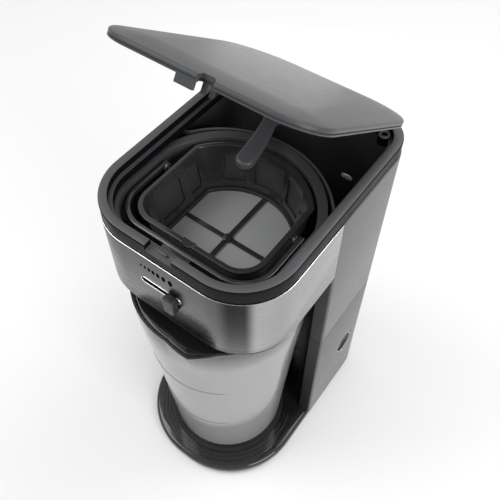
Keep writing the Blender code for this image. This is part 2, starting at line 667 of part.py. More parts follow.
def build_switch():
    bezel = turned("switch_bezel", [(11.7, 2.6), (15.0, 2.6), (15.0, -2.4), (11.7, -2.4)],
                   (0, 0), "satin_black", 40)
    place = Matrix.Translation((82.4 * MM, SWITCH_Y * MM, SWITCH_Z * MM))
    bezel.matrix_world = place @ Matrix.Rotation(pi / 2, 4, "Y")
    rocker = rod("switch_rocker", (SWITCH_Y, SWITCH_Z), 9.8, 80.4, 84.8, "X", "gloss_black", 32)
    soften(rocker, 0.8, 2, 60)
    axle = pivot("rocker_axle", (81.0, SWITCH_Y, SWITCH_Z))
    hang(axle, rocker)
    axle.rotation_euler = (0.0, radians(ROCKER_DEG), 0.0)
    block("switch_body", (58.0, 52.0, 76.0), (78.6, 75.0, 100.0), "satin_black")
    bush = turned("cord_inlet", [(3.6, 4.5), (7.6, 4.5), (10.0, 3.2), (10.0, 0.3), (7.9, 0.3),
                                 (7.9, -4.0), (3.6, -4.0)], (0, 0), "rubber", 24)
    bush.matrix_world = (Matrix.Translation((0, BACK * MM, 32.0 * MM))
                         @ Matrix.Rotation(-pi / 2, 4, "X"))


# ---- drip stop -------------------------------------------------------------
def build_valve():
    valve = turned("drip_valve", [(0, 302.2), (9.0, 302.2), (9.0, 300.3), (3.4, 300.3),
                                  (3.4, 281.2), (7.6, 280.8), (7.0, 278.6), (0, 278.6)],
                   (0, PITCHER_Y), "satin_black", 24)
    coil = []
    turns, n = 4.5, 12
    for i in range(int(turns * n) + 1):
        a = 2 * pi * i / n
        z = 282.2 + (296.8 - 282.2) * i / (turns * n)
        coil.append((5.2 * cos(a), PITCHER_Y + 5.2 * sin(a), z))
    spring = tube("valve_spring", coil, 0.45, "pin_steel")
    hang(pivot("drip_valve_guide", (0, PITCHER_Y, 290)), valve, spring)


# ---- heater and plumbing ---------------------------------------------------
def build_works():
    bend = ribbon(arc(0, 75, 34, 0, 180, 16), arc(0, 75, 22, 0, 180, 16))
    outline = [(34, 52)] + bend[:17] + [(-34, 52), (-22, 52)] + bend[17:] + [(22, 52)]
    plate("heater_block", [outline], 30, 46, "alloy")
    block("heater_bracket", (-30, 56, 12.4), (-22.5, 92, 29.6), "alloy")
    rod("inlet_hose", (28, 60), 4.5, 46.4, 124.6, "Z", "silicone", 20)
    turned("check_valve", [(4.8, 94), (8.0, 94), (8.0, 80), (4.8, 80)], (28, 60), "cream", 24)
    tube("riser_hose", [(-28, 60, 46.6), (-28, 60, 58), (-27.5, 60.5, 72), (-26, 62, 88),
                        (-24, 64, 102), (-22.5, 65.5, 112), (-22, 66, 124.5)], 4.5,
         "silicone", 3)
    rod("thermostat", (0, 103), 8.0, 46.4, 53.0, "Z", "cream", 24)
    rod("thermal_fuse", (103, 25.0), 3.4, -12, 12, "X", "cream", 16)


# ---- pitcher ---------------------------------------------------------------
def push_spout(ob, z_low, z_high, reach, spread=17.0):
    """Draw a V-shaped pouring lip out of the wall in the spout's direction."""
    for v in ob.data.vertices:
        x, y, z = v.co.x / MM, v.co.y / MM - PITCHER_Y, v.co.z / MM
        r = hypot(x, y)
        if r < 40 or z < z_low:
            continue
        a = degrees(acos(max(-1, min(1, (x * cos(radians(SPOUT_DEG))
                                         + y * sin(radians(SPOUT_DEG))) / r))))
        push = reach * max(0.0, 1 - a / spread) * min(1.0, (z - z_low) / (z_high - z_low))
        v.co.x += x / r * push * MM
        v.co.y += y / r * push * MM


def build_pitcher():
    outer = [(77.6, 272.0), (77.3, 262.0), (76.6, 225.0), (75.6, 188.5), (74.2, 186.0),
             (70.6, 183.0), (60.0, 24.0), (57.6, 16.0), (53.0, 12.9), (0, 12.9)]
    inner = [(0, 16.4), (50.0, 16.4), (55.0, 18.6), (57.2, 25.5), (67.9, 182.0),
             (71.6, 185.6), (73.2, 190.5), (74.1, 225.0), (75.2, 271.2), (75.9, 272.0)]
    jug = turned("pitcher", inner + outer, (0, PITCHER_Y), "clear", 72)
    push_spout(jug, 236.0, 272.0, 6.6)
    lid = turned("pitcher_lid", [(12.0, 262.0), (40.0, 265.0), (66.0, 270.2), (73.6, 270.2),
                                 (74.0, 269.4), (74.0, 267.0), (71.6, 266.2), (71.2, 254.0),
                                 (69.6, 254.0), (69.0, 265.4), (40.0, 262.8), (12.0, 259.8)],
                 (0, PITCHER_Y), "gloss_black", 72)
    push_spout(lid, 250.0, 268.0, 5.8)
    tongue = plate("add_spout_cover", [[(-12.5, 255.6), (12.5, 255.6), (1.5, 241.0),
                                        (-1.5, 241.0)]], 70.6, 72.6, facing="Y")
    tongue.data.transform(Matrix.Translation((0, PITCHER_Y * MM, 0))
                          @ Matrix.Rotation(radians(SPOUT_DEG - 90.0), 4, "Z"))
    join(lid, tongue)
    seal = turned("pitcher_seal", [(71.9, 261.0), (73.6, 261.0), (73.6, 256.5), (71.9, 256.5)],
                  (0, PITCHER_Y), "silicone", 72)
    push_spout(seal, 250.0, 268.0, 5.8)
    slide = pivot("pitcher_slide", (0, PITCHER_Y, BASE_Z1))
    hang(slide, jug)
    lift = pivot("pitcher_lid_lift", (0, PITCHER_Y, 270))
    lift.parent = slide
    lift.matrix_parent_inverse = slide.matrix_world.inverted()
    hang(lift, lid, seal)


build_base()
build_column()
build_reservoir()
build_head()
build_chamber()
build_rim()
build_outlet()
build_basket()
build_lid()
build_slider()
build_switch()
build_valve()
build_works()
build_pitcher()
bpy.context.view_layer.update()
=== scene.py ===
"""Looks of a top-loading drip coffee maker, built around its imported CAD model.

Everything is in the CAD's frame: +Z up, front at -Y. Shape sizes below are in millimetres.
"""

from math import acos, cos, degrees, hypot, pi, radians, sin

import bmesh
import bpy
from mathutils import Matrix, Vector


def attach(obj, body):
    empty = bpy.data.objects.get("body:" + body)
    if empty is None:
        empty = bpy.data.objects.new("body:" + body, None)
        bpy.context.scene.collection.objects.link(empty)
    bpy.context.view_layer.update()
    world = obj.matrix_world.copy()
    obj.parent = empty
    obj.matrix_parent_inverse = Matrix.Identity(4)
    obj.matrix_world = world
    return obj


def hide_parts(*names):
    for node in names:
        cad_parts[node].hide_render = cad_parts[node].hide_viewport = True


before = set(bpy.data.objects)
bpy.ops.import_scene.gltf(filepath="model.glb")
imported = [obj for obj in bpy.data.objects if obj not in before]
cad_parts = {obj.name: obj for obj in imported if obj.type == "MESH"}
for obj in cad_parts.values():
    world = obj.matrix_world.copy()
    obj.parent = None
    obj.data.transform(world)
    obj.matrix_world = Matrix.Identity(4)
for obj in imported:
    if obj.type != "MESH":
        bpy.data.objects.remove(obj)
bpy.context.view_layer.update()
MM = 0.001

# ---- sizes shared with the CAD ----------------------------------------------
HALF, FRONT, BACK, R_FRONT, R_BACK = 85.0, -104.0, 115.5, 48.0, 30.0
WALL, JOIN_Y, GAP = 2.5, 5.0, 0.3
PITCHER_Y, BAY_R = -38.5, 82.5
SEAM_Z, HEAD_Z, BAND_Z0, BAND_Z1 = 177.6, 284.0, 288.0, 357.5
RIM_Z0, RIM_STEP_Z, RIM_Z1 = 357.9, 365.0, 372.0
LATCH_HALF, LATCH_BACK, LATCH_Z = 12.3, -95.9, 366.2
BOSS_X, BOSS_Y = 65.5, 96.5
BASE_Z0, BASE_Z1, BASE_FRONT, BASE_R = 3.0, 12.0, -119.5, 79.5
ARC_Y, REST_X = -32.7, 24.0
BASKET_Z0, BASKET_Z1 = 308.5, 355.0
BASKET_HALF, BASKET_FRONT, BASKET_ARC = 55.5, -74.0, 67.5
BASKET_TAPER, TAPER_Y = 0.865, -8.2
WINDOW_Z0, WINDOW_Z1, WINDOW_R, FLOOR_MID_Y = 318.0, 345.0, 3.0, -27.5
BAIL_Y, BAIL_Z = -24.0, 351.5
HINGE_Y, HINGE_Z, LID_OPEN = 112.0, 361.8, 34.4
HINGE_GAP_X0, HINGE_GAP_X1, PIN_X0, PIN_X1 = 20.3, 35.7, 17.0, 39.0
WEB_X0, WEB_X1, WEB_Y0 = 21.0, 35.0, 105.0
LID_Z0, LID_POCKET_Z = 372.4, 374.8
LID_HALF, LID_FRONT, LID_BACK, LID_RF, LID_RB = 83.5, -97.0, 108.0, 30.0, 50.0
FINGER_NOTCH = [(3.2, -99.0), (15.6, -99.0), (15.6, -95.0), (11.0, -90.2), (3.2, -90.2)]
HOOK_XS = (5.5, 12.0)
ARM_X, ARM_Y, ARM_Z0, ARM_Z1 = -22.0, 66.0, 363.5, 370.0
NOZZLE_X, NOZZLE_Y = -8.0, 8.0
SLOT_X, SLOT_HALF, SLOT_Z, KNOB_X = -2.5, 15.5, 326.0, 9.5
DOT_XS, DOT_Z, DOT_R0, DOT_GROWTH = (-19.0, -15.2, -11.3, -7.3, -2.8, 2.5, 8.8), 344.0, 0.9, 1.1
SWITCH_Y, SWITCH_Z, ROCKER_TILT, SWITCH_MARK_DROP = 63.5, 88.0, 7.0, 18.5
BEZEL_X, ROCKER_X = 82.4, 81.0
INLET_Z, INLET_R = 32.0, 8.3
SPOUT_DEG, LEVEL_LINES = -70.0, ((183.2, 71.0), (97.3, 64.9))
WORLD_STRENGTH, FLOOR_ALBEDO = 0.62, 0.93


# ---- outlines -----------------------------------------------------------------
def arc(cx, cy, r, a0, a1, n):
    return [(cx + r * cos(radians(a0 + (a1 - a0) * i / n)),
             cy + r * sin(radians(a0 + (a1 - a0) * i / n))) for i in range(n + 1)]


def rounded(half, front, back, rf, rb, n=20):
    return (arc(half - rf, front + rf, rf, -90, 0, n)
            + arc(half - rb, back - rb, rb, 0, 90, n)
            + arc(-half + rb, back - rb, rb, 90, 180, n)
            + arc(-half + rf, front + rf, rf, 180, 270, n))


def front_path(half, front, rf, y_end, n=20):
    return ([(half, y_end)] + arc(half - rf, front + rf, rf, 0, -90, n)
            + arc(-half + rf, front + rf, rf, -90, -180, n) + [(-half, y_end)])


def back_path(half, back, rb, y_start, n=18):
    return ([(half, y_start)] + arc(half - rb, back - rb, rb, 0, 90, n)
            + arc(-half + rb, back - rb, rb, 90, 180, n) + [(-half, y_start)])


def arc_backed(half, front, rf, r, cy, n=16, span=48):
    side = degrees(acos(half / r))
    return (arc(half - rf, front + rf, rf, -90, 0, n)
            + arc(0, cy, r, side, 180 - side, span)
            + arc(-half + rf, front + rf, rf, 180, 270, n))


def capsule(cx, cy, half_len, r, n=12):
    return arc(cx + half_len, cy, r, -90, 90, n) + arc(cx - half_len, cy, r, 90, 270, n)


def soft_rect(x0, x1, y0, y1, r, n=6):
    return (arc(x1 - r, y0 + r, r, -90, 0, n) + arc(x1 - r, y1 - r, r, 0, 90, n)
            + arc(x0 + r, y1 - r, r, 90, 180, n) + arc(x0 + r, y0 + r, r, 180, 270, n))


# ---- mesh tools -----------------------------------------------------------------
FACING = {
    "Z": Matrix.Identity(4),
    "Y": Matrix(((1, 0, 0, 0), (0, 0, 1, 0), (0, 1, 0, 0), (0, 0, 0, 1))),
    "X": Matrix(((0, 0, 1, 0), (1, 0, 0, 0), (0, 1, 0, 0), (0, 0, 0, 1))),
}


def add_object(name, mesh):
    ob = bpy.data.objects.new(name, mesh)
    bpy.context.scene.collection.objects.link(ob)
    return ob


def baked(ob):
    """Applies an object's modifiers to its mesh."""
    bpy.context.view_layer.update()
    graph = bpy.context.evaluated_depsgraph_get()
    mesh = bpy.data.meshes.new_from_object(ob.evaluated_get(graph))
    ob.modifiers.clear()
    ob.data = mesh
    return ob


def from_bmesh(name, bm):
    bmesh.ops.recalc_face_normals(bm, faces=bm.faces)
    mesh = bpy.data.meshes.new(name)
    bm.to_mesh(mesh)
    bm.free()
    return add_object(name, mesh)


def plate(name, loops, a, b, facing="Z"):
    """Flat outlines given their thickness from a to b."""
    data = bpy.data.curves.new(name, "CURVE")
    data.dimensions, data.fill_mode, data.extrude = "2D", "BOTH", (b - a) / 2 * MM
    for loop in loops:
        spline = data.splines.new("POLY")
        spline.points.add(len(loop) - 1)
        for p, (u, v) in zip(spline.points, loop):
            p.co = (u * MM, v * MM, 0.0, 1.0)
        spline.use_cyclic_u = True
    tmp = add_object(name + "_outline", data)
    bpy.context.view_layer.update()
    graph = bpy.context.evaluated_depsgraph_get()
    mesh = bpy.data.meshes.new_from_object(tmp.evaluated_get(graph))
    bpy.data.objects.remove(tmp)
    mesh.transform(FACING[facing] @ Matrix.Translation((0, 0, (a + b) / 2 * MM)))
    bm = bmesh.new()
    bm.from_mesh(mesh)
    bmesh.ops.remove_doubles(bm, verts=bm.verts, dist=2e-6)
    bmesh.ops.dissolve_limit(bm, angle_limit=radians(0.1), verts=bm.verts, edges=bm.edges)
    return from_bmesh(name, bm)


def loft(name, rings, tube=False):
    """Skin over rings of equal length; capped, or joined end to start as a tube."""
    bm = bmesh.new()
    rows = [[bm.verts.new(Vector(p) * MM) for p in ring] for ring in rings]
    pairs = list(zip(rows, rows[1:])) + ([(rows[-1], rows[0])] if tube else [])
    n = len(rows[0])
    for low, high in pairs:
        for i in range(n):
            j = (i + 1) % n
            bm.faces.new((low[i], low[j], high[j], high[i]))
    if not tube:
        bm.faces.new(rows[0])
        bm.faces.new(rows[-1])
    bmesh.ops.remove_doubles(bm, verts=bm.verts, dist=1e-6)
    return from_bmesh(name, bm)


def at_z(outline, z):
    return [(x, y, z) for x, y in outline]


def box_block(name, lo, hi):
    bm = bmesh.new()
    bmesh.ops.create_cube(bm, size=1.0)
    for v in bm.verts:
        v.co = Vector([(lo[i] + hi[i]) / 2 + v.co[i] * (hi[i] - lo[i]) for i in range(3)]) * MM
    return from_bmesh(name, bm)


def rod(name, at, r, a, b, axis="Z", sides=48):
    bm = bmesh.new()
    bmesh.ops.create_cone(bm, cap_ends=True, segments=sides, radius1=r * MM,
                          radius2=r * MM, depth=(b - a) * MM)
    turn = {"Z": Matrix.Identity(4), "X": Matrix.Rotation(pi / 2, 4, "Y"),
            "Y": Matrix.Rotation(-pi / 2, 4, "X")}[axis]
    mid = (a + b) / 2
    spot = {"Z": (at[0], at[1], mid), "X": (mid, at[0], at[1]), "Y": (at[0], mid, at[1])}[axis]
    bmesh.ops.transform(bm, matrix=Matrix.Translation(Vector(spot) * MM) @ turn, verts=bm.verts)
    return from_bmesh(name, bm)


def turned(name, profile, at=(0, 0), steps=96, place=None):
    """A profile of (radius, height) turned about Z; open ends on the axis are closed."""
    bm = bmesh.new()
    rows = []
    for r, h in profile:
        if r < 1e-6:
            rows.append([bm.verts.new((at[0] * MM, at[1] * MM, h * MM))])
        else:
            rows.append([bm.verts.new(((at[0] + r * cos(2 * pi * i / steps)) * MM,
                                       (at[1] + r * sin(2 * pi * i / steps)) * MM, h * MM))
                         for i in range(steps)])
    closed = profile[0][0] > 0 and profile[-1][0] > 0
    pairs = list(zip(rows, rows[1:])) + ([(rows[-1], rows[0])] if closed else [])
    for a, b in pairs:
        for i in range(steps):
            j = (i + 1) % steps
            quad = [a[i % len(a)], a[j % len(a)], b[j % len(b)], b[i % len(b)]]
            corners = list(dict.fromkeys(quad))
            if len(corners) > 2:
                bm.faces.new(corners)
    if place:
        bmesh.ops.transform(bm, matrix=place, verts=bm.verts)
    return from_bmesh(name, bm)


def boolean(ob, operation, others):
    for other in others:
        m = ob.modifiers.new("Boolean", "BOOLEAN")
        m.operation, m.solver, m.object = operation, "EXACT", other
    baked(ob)
    for other in others:
        bpy.data.objects.remove(other)
    return ob


def cut(ob, *others):
    return boolean(ob, "DIFFERENCE", others)


def join(ob, *others):
    return boolean(ob, "UNION", others)


def bevel(ob, width, segments=3, angle=40.0):
    m = ob.modifiers.new("Bevel", "BEVEL")
    m.width, m.segments, m.angle_limit = width * MM, segments, radians(angle)
    m.limit_method, m.miter_outer = "ANGLE", "MITER_ARC"
    return baked(ob)


def shade(ob, angle=32.0):
    ob.data.shade_smooth()
    ob.data.set_sharp_from_angle(angle=radians(angle))
    return ob


def put(ob, material, body, *replaced, angle=32.0):
    """Finishes a piece: shading, material, the body it rides on and the nodes it stands for."""
    if ob.type == "MESH":
        shade(ob, angle)
    ob.data.materials.clear()
    ob.data.materials.append(material)
    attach(ob, body)
    if replaced:
        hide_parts(*replaced)
    return ob


# ---- materials -----------------------------------------------------------------
class Shade:
    """Small helper around one material's node tree."""

    def __init__(self, name):
        self.mat = bpy.data.materials.new(name)
        self.mat.use_nodes = True
        self.tree = self.mat.node_tree
        self.bsdf = self.tree.nodes["Principled BSDF"]

    def node(self, kind, **values):
        n = self.tree.nodes.new(kind)
        for key, value in values.items():
            if key in n.inputs:
                n.inputs[key].default_value = value
            else:
                setattr(n, key, value)
        return n

    def link(self, a, b):
        self.tree.links.new(a, b)

    def set(self, **values):
        for key, value in values.items():
            self.bsdf.inputs[key.replace("_", " ")].default_value = value

    def noise(self, scale, stretch=(1, 1, 1), detail=2.0, rough=0.5):
        where = self.node("ShaderNodeTexCoord")
        size = self.node("ShaderNodeMapping")
        size.inputs["Scale"].default_value = stretch
        tex = self.node("ShaderNodeTexNoise", Scale=scale, Detail=detail, Roughness=rough)
        self.link(where.outputs["Object"], size.inputs["Vector"])
        self.link(size.outputs["Vector"], tex.inputs["Vector"])
        return tex.outputs["Fac"]

    def spread(self, value, low, high, a=0.3, b=0.7):
        m = self.node("ShaderNodeMapRange")
        for key, v in (("From Min", a), ("From Max", b), ("To Min", low), ("To Max", high)):
            m.inputs[key].default_value = v
        self.link(value, m.inputs["Value"])
        return m.outputs["Result"]

    def colour(self, value, dark, light, a=0.3, b=0.7):
        ramp = self.node("ShaderNodeValToRGB")
        ramp.color_ramp.elements[0].position, ramp.color_ramp.elements[1].position = a, b
        ramp.color_ramp.elements[0].color = (*dark, 1)
        ramp.color_ramp.elements[1].color = (*light, 1)
        self.link(value, ramp.inputs["Fac"])
        return ramp.outputs["Color"]

    def bump(self, value, strength, distance):
        b = self.node("ShaderNodeBump", Strength=strength, Distance=distance)
        self.link(value, b.inputs["Height"])
        self.link(b.outputs["Normal"], self.bsdf.inputs["Normal"])


def tint(c, k):
    return tuple(min(1.0, v * k) for v in c)


def moulded(name, colour, rough, grain=0.12, grain_scale=2600.0, vary=0.08, coat=0.0,
            shine=0.5, haze=0.06):
    """Moulded plastic: a fine spark-eroded grain, cloudy roughness and slight colour drift."""
    s = Shade(name)
    cloud = s.noise(26.0, detail=4.0)
    s.link(s.colour(cloud, tint(colour, 1 - vary), tint(colour, 1 + vary)),
           s.bsdf.inputs["Base Color"])
    s.link(s.spread(s.noise(90.0, detail=5.0), rough - haze, rough + haze),
           s.bsdf.inputs["Roughness"])
    if grain:
        s.bump(s.noise(grain_scale, detail=2.0), grain, 0.00006)
    s.set(Coat_Weight=coat, Coat_Roughness=0.08, Specular_IOR_Level=shine)
    return s.mat


def gloss(name, colour, rough=0.08, coat=0.5):
    """Polished plastic: faint orange peel and finger haze in the roughness."""
    s = Shade(name)
    haze = s.noise(38.0, detail=6.0, rough=0.62)
    s.link(s.colour(haze, tint(colour, 0.85), tint(colour, 1.15)), s.bsdf.inputs["Base Color"])
    s.link(s.spread(haze, rough, rough + 0.10, 0.42, 0.72), s.bsdf.inputs["Roughness"])
    s.bump(s.noise(160.0, detail=1.0), 0.05, 0.00012)
    s.set(Coat_Weight=coat, Coat_Roughness=0.04)
    return s.mat


def steel_with_painted_reflections(name, rough, stretch, tones, aniso=0.65):
    """Brushed steel that reflects the lamps for real, with painted reflections on top: its soft
    upright light and dark bars are painted into the colour by the way each face turns.
    tones lists (angle from straight ahead in degrees, painted reflection tone)."""
    s = Shade(name)
    fine = s.noise(1.0, stretch, detail=3.0, rough=0.6)
    shape = s.node("ShaderNodeNewGeometry")
    split = s.node("ShaderNodeSeparateXYZ")
    s.link(shape.outputs["Normal"], split.inputs[0])
    turn = s.node("ShaderNodeMath", operation="ARCTAN2")
    back = s.node("ShaderNodeMath", operation="MULTIPLY")
    back.inputs[1].default_value = -1.0
    s.link(split.outputs["Y"], back.inputs[0])
    s.link(split.outputs["X"], turn.inputs[0])
    s.link(back.outputs[0], turn.inputs[1])
    # Painted reflections: the colour steps through light and dark bars by which way the face turns
    # about Z.
    ramp = s.node("ShaderNodeValToRGB")
    ramp.color_ramp.interpolation = "EASE"
    bar = ramp.color_ramp.elements
    while len(bar) < len(tones):
        bar.new(0.5)
    for stop, (angle, value) in zip(bar, tones):
        stop.position = (angle + 90.0) / 180.0
        stop.color = (value, value, value * 0.99, 1.0)
    s.link(s.spread(turn.outputs[0], 0.0, 1.0, -pi / 2, pi / 2), ramp.inputs["Fac"])
    grain = s.node("ShaderNodeMix", data_type="RGBA", blend_type="MULTIPLY")
    grain.inputs["Factor"].default_value = 1.0
    s.link(ramp.outputs["Color"], grain.inputs["A"])
    s.link(s.colour(fine, (0.86, 0.86, 0.86), (1.06, 1.06, 1.06), 0.32, 0.68),
           grain.inputs["B"])
    s.link(grain.outputs["Result"], s.bsdf.inputs["Base Color"])
    coarse = s.noise(1.0, tuple(v * 0.22 for v in stretch), detail=2.0)
    s.link(s.spread(coarse, rough - 0.06, rough + 0.10), s.bsdf.inputs["Roughness"])
    s.bump(fine, 0.10, 0.00005)
    s.set(Metallic=1.0, Anisotropic=aniso)
    tangent = s.node("ShaderNodeTangent")
    tangent.direction_type, tangent.axis = "RADIAL", "Z"
    s.link(tangent.outputs["Tangent"], s.bsdf.inputs["Tangent"])
    return s.mat


def polished(name, colour, rough=0.18):
    """Bright metal with faint smears."""
    s = Shade(name)
    s.link(s.spread(s.noise(220.0, detail=4.0), rough - 0.05, rough + 0.1),
           s.bsdf.inputs["Roughness"])
    s.link(s.colour(s.noise(60.0), tint(colour, 0.9), tint(colour, 1.05)),
           s.bsdf.inputs["Base Color"])
    s.set(Metallic=1.0)
    return s.mat


def milky(name, colour, rough=0.10, ior=1.45):
    """Moulded plastic, frosted almost opaque up to the brim's collar and clearer above it."""
    s = Shade(name)
    s.link(s.colour(s.noise(14.0, detail=3.0), tint(colour, 0.97), colour),
           s.bsdf.inputs["Base Color"])
    s.link(s.spread(s.noise(60.0, detail=5.0), rough, rough + 0.06),
           s.bsdf.inputs["Roughness"])
    s.bump(s.noise(40.0, detail=1.0), 0.04, 0.0004)
    where = s.node("ShaderNodeTexCoord")
    split = s.node("ShaderNodeSeparateXYZ")
    s.link(where.outputs["Object"], split.inputs[0])
    s.link(s.spread(split.outputs["Z"], 0.04, 0.85, 0.238, 0.268),
           s.bsdf.inputs["Transmission Weight"])
    s.set(IOR=ior)
    return s.mat


def weave(name, thread, hole, pitch):
    """Fine woven nylon filter mesh, threads along the surface's own X, Y and Z."""
    s = Shade(name)
    where = s.node("ShaderNodeTexCoord")
    split = s.node("ShaderNodeSeparateXYZ")
    s.link(where.outputs["Object"], split.inputs[0])
    waves = []
    for axis in "XYZ":
        scaled = s.node("ShaderNodeMath", operation="MULTIPLY")
        scaled.inputs[1].default_value = 2 * pi / pitch
        s.link(split.outputs[axis], scaled.inputs[0])
        wave = s.node("ShaderNodeMath", operation="SINE")
        s.link(scaled.outputs[0], wave.inputs[0])
        waves.append(wave.outputs[0])
    both = waves[0]
    for other in waves[1:]:
        top = s.node("ShaderNodeMath", operation="MAXIMUM")
        s.link(both, top.inputs[0])
        s.link(other, top.inputs[1])
        both = top.outputs[0]
    s.link(s.colour(both, hole, thread, 0.15, 0.75), s.bsdf.inputs["Base Color"])
    s.link(s.spread(s.noise(50.0), 0.5, 0.65), s.bsdf.inputs["Roughness"])
    s.bump(both, 0.5, 0.00015)
    s.set(Sheen_Weight=0.15)
    return s.mat


MAT = {
    "rim": moulded("rim_plastic", (0.086, 0.088, 0.092), 0.45, 0.10),
    "rim_side": moulded("rim_side_plastic", (0.007, 0.007, 0.008), 0.35, 0.04, shine=0.05),
    "lid": moulded("lid_plastic", (0.062, 0.064, 0.067), 0.34, 0.04, 2200.0, 0.01, shine=0.32,
                   haze=0.012),
    "lid_under": moulded("lid_under_plastic", (0.020, 0.020, 0.021), 0.45),
    "chamber": moulded("chamber_plastic", (0.056, 0.056, 0.060), 0.40, 0.08),
    "tank": moulded("tank_plastic", (0.075, 0.075, 0.080), 0.42, 0.08),
    "basket": moulded("basket_plastic", (0.032, 0.032, 0.034), 0.22, 0.04, coat=0.5),
    "bail": moulded("bail_plastic", (0.038, 0.038, 0.040), 0.22, 0.04, coat=0.5),
    "arm": moulded("arm_plastic", (0.080, 0.082, 0.087), 0.38, 0.08),
    "panel": moulded("panel_satin", (0.105, 0.105, 0.104), 0.33, 0.06, 2400.0, 0.01, haze=0.02),
    "trim": moulded("trim_plastic", (0.016, 0.016, 0.017), 0.42),
    "black": gloss("gloss_black", (0.017, 0.017, 0.018), 0.08, 0.3),
    "bay": gloss("bay_black", (0.034, 0.034, 0.036), 0.10, 0.3),
    "cover": gloss("cover_black", (0.011, 0.011, 0.012), 0.12, 0.0),
    "head": moulded("head_plastic", (0.012, 0.012, 0.013), 0.35, 0.08),
    "knob": moulded("knob_plastic", (0.014, 0.014, 0.015), 0.40, 0.08),
    "satin_black": moulded("satin_black", (0.012, 0.012, 0.013), 0.42),
    "rubber": moulded("rubber", (0.014, 0.014, 0.014), 0.75, 0.3, 1800.0),
    "mark": moulded("mark_print", (0.003, 0.003, 0.003), 0.8, 0.0, shine=0.0),
    "white_mark": moulded("white_print", (0.80, 0.80, 0.79), 0.5, 0.0),
    "cream": moulded("cream_ceramic", (0.60, 0.57, 0.50), 0.5),
    "silicone": moulded("silicone", (0.55, 0.54, 0.50), 0.55, 0.1),
    "alloy": moulded("cast_alloy", (0.42, 0.42, 0.43), 0.5, 0.4, 900.0),
    # The band's light and dark bars are painted reflections, set by which way each face turns.
    "band": steel_with_painted_reflections("brushed_steel_painted_reflections", 0.27, (9, 9, 2600),
                     ((-90, 0.30), (-55, 0.24), (-30, 0.11), (0, 0.13), (12, 0.11),
                      (26, 0.025), (38, 0.03), (50, 0.36), (70, 0.34), (90, 0.38))),
    "edge": polished("band_edge_steel", (0.90, 0.90, 0.89), 0.2),
    "lip": polished("slot_lip_steel", (0.88, 0.88, 0.87), 0.15),
    "pin": polished("pin_steel", (0.52, 0.52, 0.53)),
    "mesh": weave("nylon_mesh", (0.42, 0.425, 0.43), (0.18, 0.18, 0.185), 0.0011),
    "mesh_wall": weave("nylon_mesh_wall", (0.044, 0.044, 0.046), (0.028, 0.028, 0.029), 0.0011),
    "clear": milky("pitcher_clear", (0.285, 0.289, 0.293)),
    "level": moulded("level_line_plastic", (0.20, 0.20, 0.205), 0.3, 0.0),
}
MAT["alloy"].node_tree.nodes["Principled BSDF"].inputs["Metallic"].default_value = 1.0


# ---- base ------------------------------------------------------------------------
def base_outline(d, rear_half=82.1, rear_back=112.6, rb=27.1):
    half, front, rf = HALF - 0.2 - d, BASE_FRONT + d, BASE_R - d
    return (arc(half - rf, front + rf, rf, -90, 0, 44) + [(half, JOIN_Y)]
            + back_path(rear_half, rear_back, rb, JOIN_Y) + [(-half, JOIN_Y)]
            + arc(-half + rf, front + rf, rf, 180, 270, 44))


def build_base():
    edge = [(1.2, 3.0), (0.3, 3.4), (0.0, 4.3), (0.0, 7.6), (0.35, 9.3), (1.2, 10.7),
            (2.5, 11.6), (4.2, 12.0)]
    base = loft("base_shell", [at_z(base_outline(d), z) for d, z in edge])
    hollow = plate("hollow", [base_outline(3.5, 78.6, 109.1, 23.6)], BASE_Z0 - 5, 9.0)
    well = rod("well", (0, PITCHER_Y), 64.6, 10.5, 16, sides=128)
    cut(base, hollow, well)
    ridges = []
    for r in (66.4, 70.5):
        ridges.append(turned("ridge", [(r, 11.0), (r + 0.1, 12.5), (r + 0.45, 12.9),
                                       (r + 1.25, 12.9), (r + 1.6, 12.5), (r + 1.7, 11.0)],
                             (0, PITCHER_Y), 128))
    groove = turned("groove", [(74.0, 13.0), (75.6, 13.0), (75.2, 11.3), (74.4, 11.3)],
                    (0, PITCHER_Y), 128)
    join(base, *ridges)
    cut(base, groove)
    put(base, MAT["black"], "machine", "base_pan")
    for name, mat in (("pitcher_seat", "rubber"), ("bottom_cover", "satin_black")):
        paint_node(name, mat)


def paint_node(name, mat):
    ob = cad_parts[name]
    ob.data.materials.clear()
    ob.data.materials.append(MAT[mat])


# ---- column ------------------------------------------------------------------------
def build_column():
    a = degrees(acos(72.1 / BAY_R))
    b = degrees(acos(72.1 / (BAY_R + WALL)))
    wall = (arc(0, PITCHER_Y, BAY_R + WALL, b, 180 - b, 72)
            + arc(0, PITCHER_Y, BAY_R, a, 180 - a, 72)[::-1])
    put(plate("bay_wall", [wall], BASE_Z1 + GAP, HEAD_Z - GAP), MAT["bay"], "machine",
        "column_front")
    outer = back_path(HALF, BACK, R_BACK, JOIN_Y + GAP)
    inner = back_path(HALF - WALL, BACK - WALL, R_BACK - WALL, JOIN_Y + GAP)
    lower = bevel(plate("lower_panel", [outer + inner[::-1]], 4.0, SEAM_Z - 0.4), 0.7)
    cut(lower, rod("hole", (SWITCH_Y, SWITCH_Z), 15.3, 75, 90, "X", 64),
        rod("hole", (0, INLET_Z), INLET_R, 105, 125, "Y", 32))
    put(lower, MAT["panel"], "machine", "lower_shell")
    upper = bevel(plate("upper_panel", [outer + inner[::-1]], SEAM_Z + 0.4, BAND_Z1), 0.7)
    cut(upper, plate("hole", [capsule(33, 284.5, 3.2, 3.0)], 105, 120, "Y"))
    put(upper, MAT["panel"], "machine", "upper_shell")
    for name in ("column_trim_left", "column_trim_right"):
        paint_node(name, "trim")


